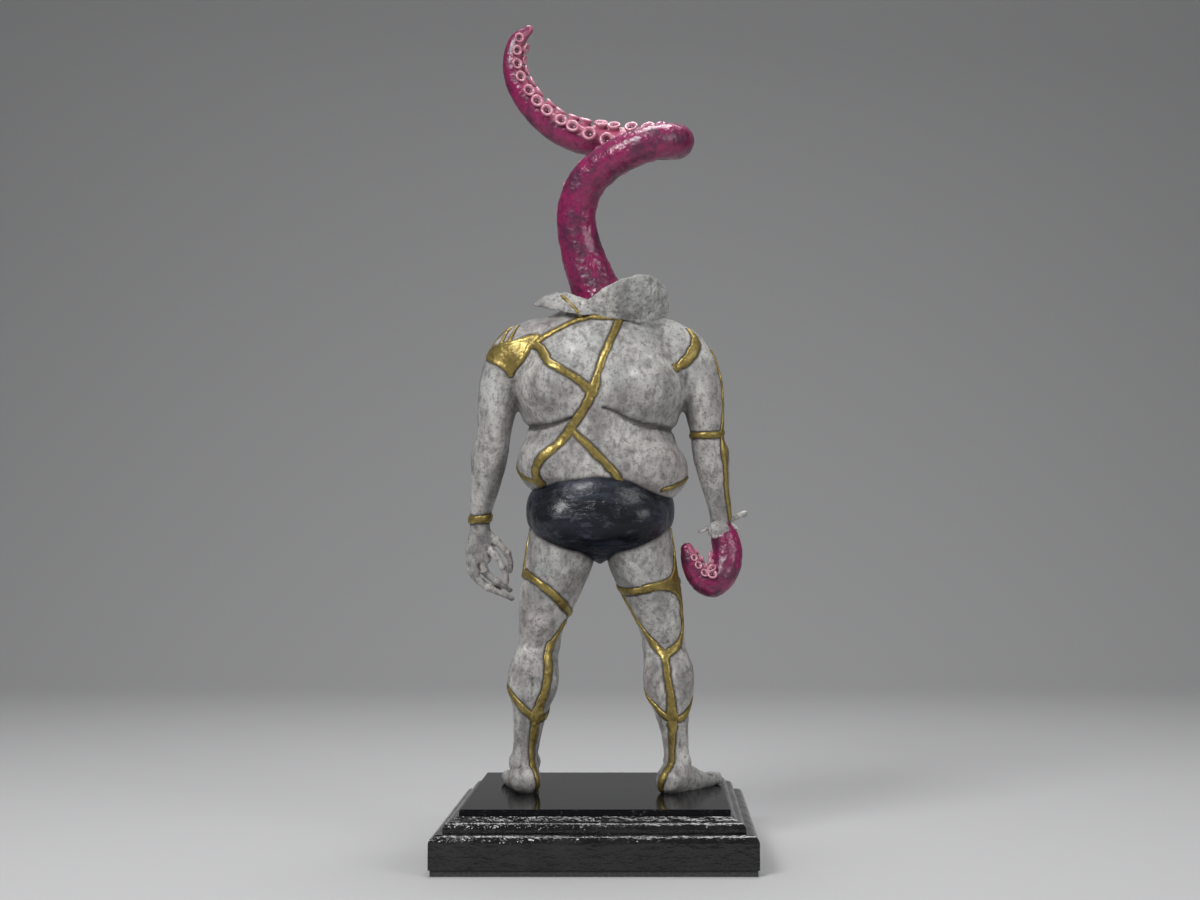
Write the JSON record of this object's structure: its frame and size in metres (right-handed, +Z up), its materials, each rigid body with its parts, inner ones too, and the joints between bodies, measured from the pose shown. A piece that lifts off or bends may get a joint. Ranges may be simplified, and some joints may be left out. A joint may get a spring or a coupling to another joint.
{
  "type": "octopus figurine",
  "caption": "Headless stone-grey statuette on a black stepped plinth, with gold mended cracks and magenta octopus arms in place of its head and one hand.",
  "frame": {"origin": "centre of the plinth's underside, on the floor", "axes": "+Z up, +Y the way the figure faces, away from the picture's camera, +X to the figure's right hand"},
  "size_m": [0.1524, 0.1524, 0.4249],
  "materials": {
    "stone": "satin",
    "gold": "satin",
    "tentacle": "gloss",
    "sucker": "gloss",
    "trunks_gloss": "gloss",
    "plinth_black": "gloss",
    "plate_mirror": "mirror",
    "pad_black": "matte",
    "steel": "brushed"
  },
  "bodies": {
    "root": {"base_pad": "pad_black", "plinth_block": "plinth_black", "plinth_moulding": "plinth_black", "plinth_top_plate": "plate_mirror", "plinth_screws": "steel", "rod_washers": "steel", "rod_nuts": "steel", "left_leg_rod": "steel", "right_leg_rod": "steel", "left_arm_wire": "steel", "right_arm_wire": "steel", "spine_rod": "steel", "neck_arm_wire": "steel", "wrist_arm_wire": "steel", "upper_torso": "stone", "lower_torso": "stone", "trunks": "trunks_gloss", "left_thigh": "stone", "right_thigh": "stone", "left_calf": "stone", "right_calf": "stone", "left_foot": "stone", "right_foot": "stone", "left_arm": "stone", "left_hand": "stone", "right_upper_arm": "stone", "right_forearm": "stone", "wrist_petals": "stone", "collar_left_flap": "stone", "collar_right_flap": "stone", "collar_front_left_flap": "stone", "collar_front_right_flap": "stone", "neck_octopus_arm": "tentacle", "neck_suckers": "sucker", "wrist_octopus_arm": "tentacle", "wrist_suckers": "sucker", "back_seams": "gold", "waist_seams": "gold", "shoulder_seam": "gold", "front_seams": "gold", "hip_seams": "gold", "left_shoulder_patch": "gold", "right_shoulder_crescent": "gold", "right_arm_seams": "gold", "left_leg_seams": "gold", "right_leg_seams": "gold", "left_wrist_band": "gold", "right_elbow_band": "gold", "left_thigh_band": "gold", "left_shin_band": "gold", "right_thigh_band": "gold", "right_shin_band": "gold"}
  },
  "joints": []
}
